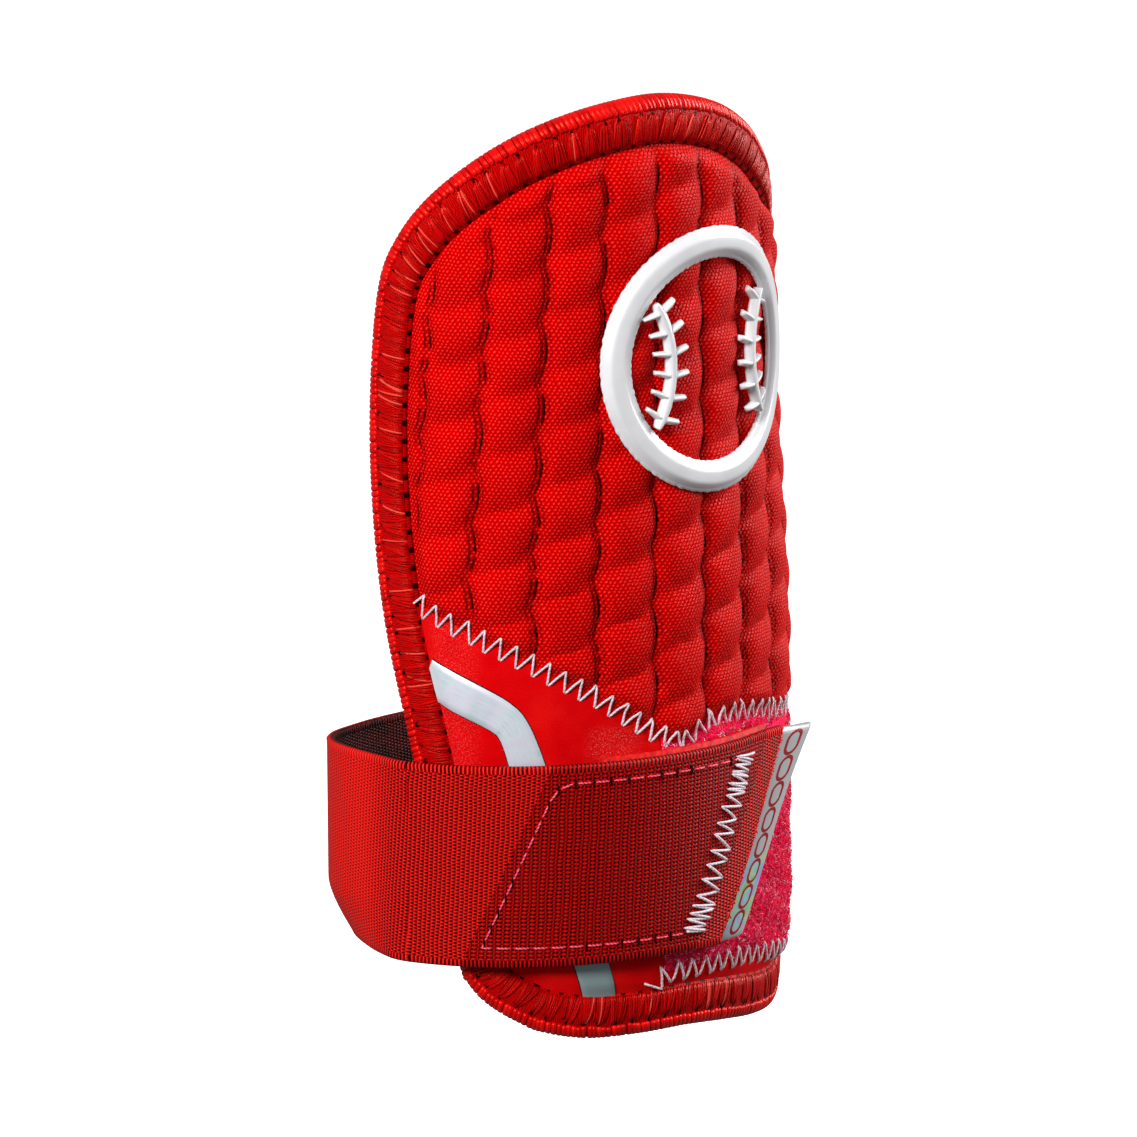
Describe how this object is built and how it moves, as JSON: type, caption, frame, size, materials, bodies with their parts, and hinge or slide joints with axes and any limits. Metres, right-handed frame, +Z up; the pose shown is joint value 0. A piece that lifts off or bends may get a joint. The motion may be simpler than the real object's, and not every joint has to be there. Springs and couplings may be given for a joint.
{
  "type": "batting hand protector",
  "caption": "Curved, quilted hand guard with a bound edge, a raised badge and one wide elastic strap that closes on a pile panel.",
  "frame": {"origin": "centre of the guard's bend, level with the middle of the strap: the middle of the hand that wears it", "axes": "+Z up the guard towards the fingers, -Y out of the padded face, +X to the right as seen from the front"},
  "size_m": [0.0916, 0.0698, 0.1794],
  "materials": {
    "quilted_knit": "matt knit with a fine rib",
    "edge_thread": "satin thread laid over the edge",
    "smooth_panel": "brushed suede-like cloth",
    "loop_pile": "short fuzzy loop pile",
    "silver_foil": "pearly silver film",
    "white_rubber": "satin moulded rubber",
    "woven_elastic": "coarse ribbed weave",
    "hook_tape": "dull hook tape",
    "silver_rubber": "satin silver-grey rubber"
  },
  "bodies": {
    "root": {"pad_shell": "quilted_knit", "edge_binding": "edge_thread", "lower_panel": "smooth_panel", "loop_panel": "loop_pile", "foil_stripe": "silver_foil", "badge_ring": "white_rubber", "badge_seam_left": "white_rubber", "badge_seam_right": "white_rubber", "strap": "woven_elastic", "hook_patch": "hook_tape", "pull_tab": "silver_rubber"}
  },
  "joints": []
}
